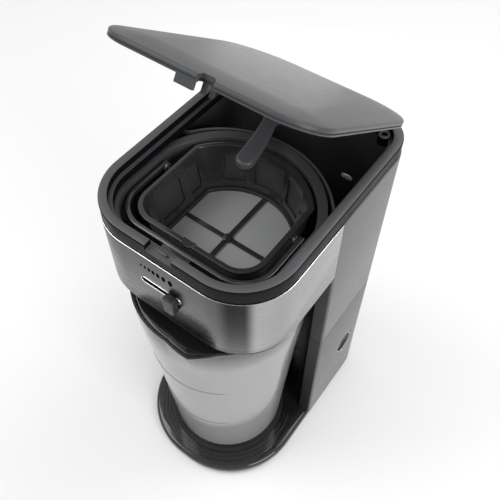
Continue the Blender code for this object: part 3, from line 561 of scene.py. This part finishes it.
# ---- head ------------------------------------------------------------------------
def build_head():
    u_out = front_path(HALF, FRONT, R_FRONT, JOIN_Y, 28)
    u_in = front_path(HALF - 0.8, FRONT + 0.8, R_FRONT - 0.8, JOIN_Y, 28)
    band = bevel(plate("band_sheet", [u_out + u_in[::-1]], BAND_Z0, BAND_Z1), 0.25, 2)
    slot = capsule(SLOT_X, SLOT_Z, SLOT_HALF, 3.0)
    cut(band, plate("slot", [slot], FRONT - 6, FRONT + 8, "Y"))
    put(band, MAT["band"], "machine", "steel_band")
    band.data.materials.append(MAT["edge"])
    for p in band.data.polygons:
        if p.normal.z > 0.5 and p.center.z > (BAND_Z1 - 1) * MM:
            p.material_index = 1
    lip = plate("slot_lip", [capsule(SLOT_X, SLOT_Z - 0.6, SLOT_HALF, 3.75),
                             capsule(SLOT_X, SLOT_Z, SLOT_HALF, 2.95)],
                FRONT - 0.55, FRONT + 1.0, "Y")
    put(bevel(lip, 0.2, 2), MAT["lip"], "machine")
    for i, x in enumerate(DOT_XS):
        r = DOT_R0 + DOT_GROWTH * i / (len(DOT_XS) - 1)
        upright = (Matrix.Translation((x * MM, FRONT * MM, DOT_Z * MM))
                   @ Matrix.Diagonal((1, 1, 1.7, 1)) @ Matrix.Rotation(pi / 2, 4, "X"))
        dot = turned("strength_dot_%d" % i, [(0, 0.18), (r - 0.12, 0.18), (r, 0.08), (r, -0.3),
                                             (0, -0.3)], steps=32, place=upright)
        put(dot, MAT["mark"], "machine")
    paint_node("head_shell", "head")


def rim_ring(half, front, back, rf, rb, z):
    return at_z(rounded(half, front, back, rf, rb, 24), z)


def rim_inset(d, z):
    return rim_ring(HALF - d, FRONT + d, BACK - d, R_FRONT - d, R_BACK - d, z)


def build_rim():
    step, hole = (76.5, -96.4, 106.5, 39.0, 22.0), (73.5, -93.2, 103.5, 36.0, 20.0)

    def grown(s, d):
        return (s[0] + d, s[1] - d, s[2] + d, s[3] + d, s[4] + d)

    rings = [rim_inset(0.9, RIM_Z0), rim_inset(0.9, 358.6), rim_inset(0.6, 369.9),
             rim_inset(0.75, 370.9), rim_inset(1.2, 371.7), rim_inset(2.0, RIM_Z1),
             rim_ring(*grown(step, 0.7), RIM_Z1), rim_ring(*grown(step, 0.15), 371.8),
             rim_ring(*step, 371.2), rim_ring(*step, 365.5),
             rim_ring(*grown(step, -0.4), RIM_STEP_Z), rim_ring(*grown(hole, 0.6), RIM_STEP_Z),
             rim_ring(*grown(hole, 0.1), 364.8), rim_ring(*hole, 364.3),
             rim_ring(*hole, RIM_Z0)]
    rim = loft("rim_frame", rings, tube=True)
    for sign in (-1, 1):
        join(rim, turned("boss", [(0, 364.6), (2.6, 364.6), (2.6, 367.6), (3.0, 368.0),
                                  (4.4, 368.0), (5.0, 367.3), (5.0, 358.5), (0, 358.5)],
                         (sign * BOSS_X, BOSS_Y), 32))
    notch = box_block("notch", (-LATCH_HALF, -112, LATCH_Z), (LATCH_HALF, LATCH_BACK, 380))
    tools = [bevel(notch, 0.8, 3)]
    for sign in (-1, 1):
        x0, x1 = sorted((sign * HINGE_GAP_X0, sign * HINGE_GAP_X1))
        p0, p1 = sorted((sign * PIN_X0, sign * PIN_X1))
        tools += [box_block("gap", (x0, 100, 358.5), (x1, 120, 380)),
                  rod("bore", (HINGE_Y, HINGE_Z), 1.75, p0, p1, "X", 24)]
    cut(rim, *tools)
    put(rim, MAT["rim"], "machine", "top_rim")
    rim.data.materials.append(MAT["rim_side"])
    for p in rim.data.polygons:
        if abs(p.normal.z) < 0.5:
            p.material_index = 1
    catch = box_block("catch", (-4.2, -99.4, 366.0), (4.2, -97.1, 368.6))
    put(bevel(catch, 0.5, 3), MAT["rim"], "machine")


def build_chamber():
    def ring(d, z, half=71.5, front=-93.0, rf=36.0, r=74.5):
        return at_z(arc_backed(half - d, front + d, rf - d, r - d, ARC_Y), z)

    fl = dict(half=79.0, front=-100.4, rf=44.5, r=80.0)
    rings = [ring(0, 298.0), ring(0, 355.6), ring(0.0, 355.6, **fl), ring(0.0, 357.2, **fl),
             ring(0.3, 357.5, **fl), ring(1.0, 357.5), ring(1.6, 357.2), ring(2.0, 356.5),
             ring(2.0, 301.5), ring(3.5, 300.0)]
    chamber = loft("chamber_cup", rings)
    cut(chamber, rod("drip", (0, PITCHER_Y), 6.5, 290, 305, sides=48))
    for x in (-REST_X, REST_X):
        join(chamber, box_block("rest", (x - 1.5, -62.0, 299.0), (x + 1.5, 12.0, 307.0)))
    put(chamber, MAT["chamber"], "machine", "brew_chamber")


# ---- water outlet ------------------------------------------------------------------
def arm_path(t):
    p0, p1, p2 = (ARM_X, ARM_Y), (-12.0, 40.0), (NOZZLE_X, NOZZLE_Y)
    x = (1 - t) ** 2 * p0[0] + 2 * t * (1 - t) * p1[0] + t * t * p2[0]
    y = (1 - t) ** 2 * p0[1] + 2 * t * (1 - t) * p1[1] + t * t * p2[1]
    dx = 2 * (1 - t) * (p1[0] - p0[0]) + 2 * t * (p2[0] - p1[0])
    dy = 2 * (1 - t) * (p1[1] - p0[1]) + 2 * t * (p2[1] - p1[1])
    k = hypot(dx, dy)
    return x, y, dx / k, dy / k


def arm_outline(d):
    left, right = [], []
    for i in range(25):
        x, y, dx, dy = arm_path(i / 24)
        w = 5.2 + 2.6 * i / 24 - d
        left.append((x - dy * w, y + dx * w))
        right.append((x + dy * w, y - dx * w))
    return left + arc(NOZZLE_X, NOZZLE_Y, 7.8 - d, -5, -170, 16) + right[::-1]


def build_outlet():
    edge = [(0.5, ARM_Z0), (0.0, 364.0), (0.0, 367.6), (0.35, 368.8), (1.2, 369.6),
            (2.6, 369.95), (4.0, ARM_Z1)]
    arm = loft("arm_shell", [at_z(arm_outline(d), z) for d, z in edge])
    hub = turned("hub", [(0, 369.9), (7.6, 369.9), (8.6, 369.3), (9.0, 368.3), (9.0, 359.6),
                         (8.4, 358.9), (0, 358.9)], (ARM_X, ARM_Y), 48)
    join(arm, hub)
    cut(arm, rod("socket", (ARM_X, ARM_Y), 4.3, 350, 363.3, sides=32))
    put(arm, MAT["arm"], "spout", "spout_arm")
    paint_node("shower_nozzle", "satin_black")
    paint_node("riser_post", "satin_black")


# ---- basket ------------------------------------------------------------------------
def taper(points):
    out = []
    for x, y, z in points:
        t = (z - BASKET_Z0) / (BASKET_Z1 - BASKET_Z0)
        s = BASKET_TAPER + (1 - BASKET_TAPER) * t
        out.append((x * s, TAPER_Y + (y - TAPER_Y) * s, z))
    return out


def basket_ring(d, z, tapered=True):
    ring = at_z(arc_backed(BASKET_HALF - d, BASKET_FRONT + d, 20.0 - d, BASKET_ARC - d, ARC_Y), z)
    return taper(ring) if tapered else ring


def floor_windows():
    """The four openings between the bars of the crossed floor."""
    r, edge, bar, mid_y, corner = 54.0, 43.5, 1.8, FLOOR_MID_Y, 13.0
    back = arc(0, ARC_Y + 3.3, r, degrees(acos(edge / r)), degrees(acos(bar / r)), 20)
    front = arc(edge - corner, -60.7 + corner, corner, -90, 0, 12)
    right = [[(bar, mid_y + bar), (edge, mid_y + bar)] + back,
             [(bar, -60.7)] + front + [(edge, mid_y - bar), (bar, mid_y - bar)]]
    return right + [[(-x, y) for x, y in loop[::-1]] for loop in right]


def build_basket():
    rings = [basket_ring(1.4, 308.5), basket_ring(0.4, 308.9), basket_ring(0, 309.8),
             basket_ring(0, 353.0)]
    lip = dict(half=58.0, front=-76.6, rf=22.0, r=70.0)
    for d, z in ((0.3, 353.0), (0.0, 353.4), (0.0, 354.4), (0.35, 354.85), (0.9, 355.0)):
        rings.append(at_z(arc_backed(lip["half"] - d, lip["front"] + d, lip["rf"] - d,
                                     lip["r"] - d, ARC_Y), z))
    rings += [basket_ring(1.0, 355.0, False), basket_ring(1.5, 354.8), basket_ring(1.8, 354.2),
              basket_ring(1.8, 311.6), basket_ring(2.2, 310.7), basket_ring(3.2, 310.3)]
    basket = loft("basket_frame", rings)
    tab = turned("tab", [(0, 355.6), (5.4, 355.6), (6.0, 355.1), (6.0, 353.0), (0, 353.0)],
                 (2.0, -72.0), 48)
    cut(tab, box_block("inner", (-10, -72.0, 350), (14, -60, 360)))
    join(basket, tab)
    join(basket, loft("floor_rib", [basket_ring(3.4, 310.0), basket_ring(3.4, 311.0),
                                    basket_ring(3.7, 311.3), basket_ring(4.5, 311.3),
                                    basket_ring(4.8, 311.0), basket_ring(4.8, 310.0)], tube=True))
    windows = [plate("window", [loop], 300, 312) for loop in floor_windows()]
    for y0, y1 in ((-50, -22), (-14, 0)):
        side = soft_rect(y0, y1, WINDOW_Z0, WINDOW_Z1, WINDOW_R)
        windows.append(plate("window", [side], -70, 70, "X"))
    for x0, x1 in ((-38, -20), (-14, 14), (20, 38)):
        rear = soft_rect(x0, x1, WINDOW_Z0, WINDOW_Z1, WINDOW_R)
        windows.append(plate("window", [rear], 5, 50, "Y"))
    cut(basket, *windows, rod("pin", (BAIL_Y, BAIL_Z), 2.0, -70, 70, "X", 24))
    join(basket, turned("boss", [(0, 311.6), (2.6, 311.5), (3.8, 311.1), (4.2, 310.4),
                                 (4.2, 308.5), (0, 308.5)], (0, FLOOR_MID_Y), 40))
    put(basket, MAT["basket"], "basket", "filter_basket")
    skin = loft("mesh_cup", [basket_ring(-0.9, 307.3), basket_ring(-0.9, 349.0),
                             basket_ring(-0.3, 349.0), basket_ring(-0.3, 308.2)])
    put(skin, MAT["mesh_wall"], "basket", "basket_mesh")
    skin.data.materials.append(MAT["mesh"])
    for p in skin.data.polygons:
        if abs(p.normal.z) > 0.7:
            p.material_index = 1
    build_bail()


def build_bail():
    def ring(d, z):
        outer = front_path(67.0 - d, -84.6 + d, 29.0 - d, BAIL_Y + 3.4 - d, 20)
        inner = front_path(63.4 + d, -81.0 - d, 25.4 + d, BAIL_Y + 3.4 - d, 20)
        return at_z(outer + inner[::-1], z)

    rings = [ring(0.6, BAIL_Z - 3), ring(0.15, BAIL_Z - 2.8), ring(0, BAIL_Z - 2.3),
             ring(0, BAIL_Z + 2.3), ring(0.15, BAIL_Z + 2.8), ring(0.6, BAIL_Z + 3)]
    bail = loft("bail_strap", rings)
    grip = bevel(plate("grip", [soft_rect(-13, 13, -88.8, -81.5, 2.4)], BAIL_Z - 1.5,
                       BAIL_Z + 2.6), 0.5, 3)
    join(bail, grip)
    cut(bail, rod("bore", (BAIL_Y, BAIL_Z), 1.9, -80, 80, "X", 24))
    put(bail, MAT["bail"], "bail", "basket_handle")
    for sign in (-1, 1):
        a, b = sorted((sign * 60.4, sign * 62.9))
        boss = cut(bevel(rod("bail_boss", (BAIL_Y, BAIL_Z), 4.2, a, b, "X", 32), 0.6, 3),
                   rod("bore", (BAIL_Y, BAIL_Z), 1.9, -80, 80, "X", 24))
        put(boss, MAT["bail"], "basket")


# ---- lid ------------------------------------------------------------------------
def tilt(ob):
    """From the closed pose, where the lid is drawn, to the pose it rests in."""
    pin = Matrix.Translation((0, HINGE_Y * MM, HINGE_Z * MM))
    ob.data.transform(pin @ Matrix.Rotation(-radians(LID_OPEN), 4, "X") @ pin.inverted())
    return ob


def lid_ring(d, z):
    return at_z(rounded(LID_HALF - d, LID_FRONT + d, LID_BACK - d, LID_RF - d, LID_RB - d, 28), z)


def build_lid():
    def pocket(d):
        return rounded(79.7 + d, -93.2 - d, 103.0 + d, 26.2 + d, 45.0 + d, 28)

    edge = [(0.6, LID_Z0), (0.1, 372.6), (0.0, 372.9), (0.0, 373.6), (0.2, 373.8), (1.0, 373.9),
            (1.0, 374.5), (0.2, 374.6), (0.0, 374.8), (0.0, 376.3), (0.25, 376.9),
            (0.8, 377.3), (1.8, 377.5), (5.0, 377.9), (10.0, 378.5), (16.0, 379.1),
            (22.0, 379.6), (28.0, 379.95)]
    lid = loft("lid_shell", [at_z(pocket(0), LID_POCKET_Z), at_z(pocket(0), 373.0),
                             at_z(pocket(0.5), LID_Z0)] + [lid_ring(d, z) for d, z in edge])
    cut(lid, plate("notch", [FINGER_NOTCH], 370, 384))
    join(lid, bevel(plate("tab", [soft_rect(-11.8, 2.8, -96.7, -93.5, 1.2)], 366.9, 373.8),
                    0.4, 2))
    for sign in (-1, 1):
        x0, x1 = sorted((sign * WEB_X0, sign * WEB_X1))
        join(lid, bevel(box_block("web", (x0, WEB_Y0, HINGE_Z), (x1, HINGE_Y + 1.5, 374.0)),
                        0.4, 2),
             rod("barrel", (HINGE_Y, HINGE_Z), 2.9, x0, x1, "X", 32))
    cut(lid, rod("bore", (HINGE_Y, HINGE_Z), 1.8, -60, 60, "X", 24))
    put(tilt(lid), MAT["lid"], "lid", "lid", angle=40)
    liner = loft("lid_inner_panel", [at_z(pocket(-0.9), 372.9), at_z(pocket(-0.4), 373.2),
                                     at_z(pocket(-0.4), 374.5)])
    cut(liner, plate("notch", [FINGER_NOTCH], 370, 384))
    for x in HOOK_XS:
        hook = bevel(box_block("hook", (x - 1.5, -89.8, 366.2), (x + 1.5, -87.4, 373.6)), 0.4, 2)
        join(liner, hook)
    put(tilt(liner), MAT["lid_under"], "lid", "lid_liner")
    for name in ("hinge_pin_left", "hinge_pin_right"):
        paint_node(name, "pin")
    for name in ("basket_pin_left", "basket_pin_right"):
        paint_node(name, "bail")


# ---- controls ------------------------------------------------------------------------
def build_controls():
    knob = plate("knob", [soft_rect(KNOB_X - 5, KNOB_X + 5, 312.0, 331.0, 2.5)],
                 FRONT - 7.0, FRONT - GAP, "Y")
    bevel(knob, 1.2, 4)
    join(knob, box_block("stem", (KNOB_X - 3, FRONT - 2, SLOT_Z - 2.3),
                         (KNOB_X + 3, FRONT + 4.2, SLOT_Z + 2.3)))
    put(knob, MAT["knob"], "slider", "strength_knob")
    paint_node("strength_shutter", "satin_black")
    outward = Matrix.Rotation(pi / 2, 4, "Y")
    side = Matrix.Translation((BEZEL_X * MM, SWITCH_Y * MM, SWITCH_Z * MM)) @ outward
    bezel = turned("bezel", [(11.7, 1.9), (12.1, 2.45), (12.7, 2.6), (14.3, 2.6), (14.85, 2.4),
                             (15.0, 1.9), (15.0, -2.4), (11.7, -2.4)], steps=96, place=side)
    put(bezel, MAT["black"], "machine", "switch_bezel")
    axle = Matrix.Translation((ROCKER_X * MM, SWITCH_Y * MM, SWITCH_Z * MM))
    rocker = turned("rocker", [(0, 3.3), (4.0, 3.35), (8.0, 3.6), (9.0, 3.75), (9.6, 3.5),
                               (9.8, 2.9), (9.8, -0.6), (0, -0.6)], steps=64,
                    place=axle @ Matrix.Rotation(radians(ROCKER_TILT), 4, "Y") @ outward)
    put(rocker, MAT["black"], "rocker", "switch_rocker")
    below = Matrix.Translation((HALF * MM, SWITCH_Y * MM, (SWITCH_Z - SWITCH_MARK_DROP) * MM))
    mark = turned("switch_mark", [(0, 0.2), (1.5, 0.2), (1.7, 0.1), (1.7, -0.3), (0, -0.3)],
                  steps=32, place=below @ outward)
    put(mark, MAT["white_mark"], "machine")
    paint_node("switch_body", "satin_black")
    paint_node("cord_inlet", "rubber")


# ---- pitcher ------------------------------------------------------------------------
def push_spout(ob, z_low, z_high, reach, spread=17.0):
    """Pulls a round wall out to a pouring spout, most at its top."""
    for v in ob.data.vertices:
        x, y, z = v.co.x / MM, v.co.y / MM - PITCHER_Y, v.co.z / MM
        r = hypot(x, y)
        if r < 40 or z < z_low:
            continue
        c = (x * cos(radians(SPOUT_DEG)) + y * sin(radians(SPOUT_DEG))) / r
        a = degrees(acos(max(-1, min(1, c))))
        push = reach * max(0.0, 1 - a / spread) * min(1.0, (z - z_low) / (z_high - z_low))
        v.co.x += x / r * push * MM
        v.co.y += y / r * push * MM
    return ob


def level_line(name, z, r):
    """A thin moulded line part of the way round the wall."""
    rows = []
    for i in range(61):
        a = radians(-50 - 110 * i / 60)
        t = min(1.0, min(i, 60 - i) / 3 + 0.05)
        rows.append([((r + dr * t) * cos(a), PITCHER_Y + (r + dr * t) * sin(a), z + dz)
                     for dr, dz in ((-0.35, -0.6), (0.35, -0.2), (0.35, 0.2), (-0.35, 0.6))])
    return loft(name, rows)


def build_pitcher():
    outer = [(77.6, 272.0), (77.5, 265.0), (77.2, 256.0), (76.5, 244.0), (75.3, 230.0),
             (73.9, 215.0), (72.3, 198.0), (70.4, 176.0), (67.9, 140.0), (65.1, 100.0),
             (62.4, 60.0), (60.0, 24.0), (59.4, 19.5), (57.6, 16.0), (55.5, 13.9),
             (53.0, 12.9), (0, 12.9)]
    inner = [(0, 16.4), (50.0, 16.4), (53.4, 17.2), (55.8, 19.6), (57.2, 25.5), (62.0, 100.0),
             (67.5, 176.0), (69.6, 198.0), (71.4, 215.0), (73.0, 230.0), (74.2, 244.0),
             (74.8, 255.0), (75.2, 271.2), (75.9, 272.0)]
    jug = turned("pitcher_wall", inner + outer, (0, PITCHER_Y), 144)
    put(push_spout(jug, 236.0, 272.0, 6.6), MAT["clear"], "jug", "pitcher")
    for i, (z, r) in enumerate(LEVEL_LINES):
        put(level_line("level_line_%d" % i, z, r), MAT["level"], "jug")
    lid = turned("pitcher_cover", [(12.0, 262.0), (40.0, 265.0), (66.0, 270.2), (73.0, 270.5),
                                   (73.8, 270.2), (74.0, 269.4), (74.0, 267.0), (71.6, 266.2),
                                   (71.2, 254.0), (69.6, 254.0), (69.0, 265.4), (40.0, 262.8),
                                   (12.0, 259.8)], (0, PITCHER_Y), 144)
    push_spout(lid, 250.0, 268.0, 5.8)
    turn = Matrix.Rotation(radians(SPOUT_DEG), 2)
    rows = []
    for z, half in ((241.0, 1.2), (244.0, 3.6), (250.0, 8.2), (255.6, 12.4)):
        plan = [(70.6 - 0.02 * half, -half), (73.6, 0.0), (70.6 - 0.02 * half, half),
                (69.2, half), (71.8, 0.0), (69.2, -half)]
        row = []
        for u, v in plan:
            q = turn @ Vector((u, v))
            row.append((q.x, q.y + PITCHER_Y, z))
        rows.append(row)
    join(lid, loft("spout_cover", rows))
    put(lid, MAT["cover"], "jug_lid", "pitcher_lid")
    paint_node("pitcher_seal", "silicone")


def build_rest():
    for name, mat in (("reservoir", "tank"), ("drip_valve", "satin_black"),
                      ("valve_spring", "pin"), ("heater_block", "alloy"),
                      ("heater_bracket", "alloy"), ("inlet_hose", "silicone"),
                      ("riser_hose", "silicone"), ("check_valve", "cream"),
                      ("thermostat", "cream"), ("thermal_fuse", "cream")):
        paint_node(name, mat)
    for spot in ("front_left", "front_right", "rear_left", "rear_right"):
        paint_node("foot_" + spot, "rubber")
        paint_node("screw_" + spot, "pin")


# ---- stage ------------------------------------------------------------------------
def build_stage():
    bm = bmesh.new()
    bmesh.ops.create_grid(bm, x_segments=8, y_segments=8, size=6.0)
    floor = from_bmesh("studio_floor", bm)
    s = Shade("studio_floor")
    s.set(Base_Color=(FLOOR_ALBEDO, FLOOR_ALBEDO, FLOOR_ALBEDO, 1), Roughness=0.8)
    floor.data.materials.append(s.mat)
    world = bpy.data.worlds.new("studio")
    world.use_nodes = True
    sky = world.node_tree.nodes["Background"]
    sky.inputs["Color"].default_value = (1, 1, 1, 1)
    sky.inputs["Strength"].default_value = WORLD_STRENGTH
    bpy.context.scene.world = world
    bpy.context.scene.view_settings.view_transform = "Standard"
    body, lid = (0, 0, 0.25), (0, 0.03, 0.43)
    lamps = (("key", (-0.9, -0.5, 1.5), body, 0.9, 9.0), ("fill", (1.3, -0.4, 0.9), body, 0.8, 9.0),
             ("top", (0.5, 0.9, 1.7), body, 1.0, 10.0),
             ("glow", (-0.36, 0.70, 0.15), lid, 0.26, 0.14))
    for name, spot, target, size, power in lamps:
        data = bpy.data.lights.new(name, "AREA")
        data.shape, data.size, data.energy = "SQUARE", size, power
        lamp = bpy.data.objects.new(name, data)
        bpy.context.scene.collection.objects.link(lamp)
        lamp.location = spot
        lamp.visible_camera = False
        aim = Vector(target) - Vector(spot)
        lamp.rotation_euler = aim.to_track_quat("-Z", "Y").to_euler()


def build_camera():
    data = bpy.data.cameras.new("camera")
    data.sensor_width, data.lens = 36.0, 45.76
    data.shift_x, data.shift_y = 0.0013, -0.0413
    data.clip_start = 0.01
    cam = bpy.data.objects.new("camera", data)
    bpy.context.scene.collection.objects.link(cam)
    cam.location = (0.2004, -0.2684, 0.7232)
    cam.rotation_euler = (radians(90 - 52.105), 0.0, radians(36.5))
    bpy.context.scene.camera = cam


build_camera()
build_base()
build_column()
build_head()
build_rim()
build_chamber()
build_outlet()
build_basket()
build_lid()
build_controls()
build_pitcher()
build_rest()
build_stage()
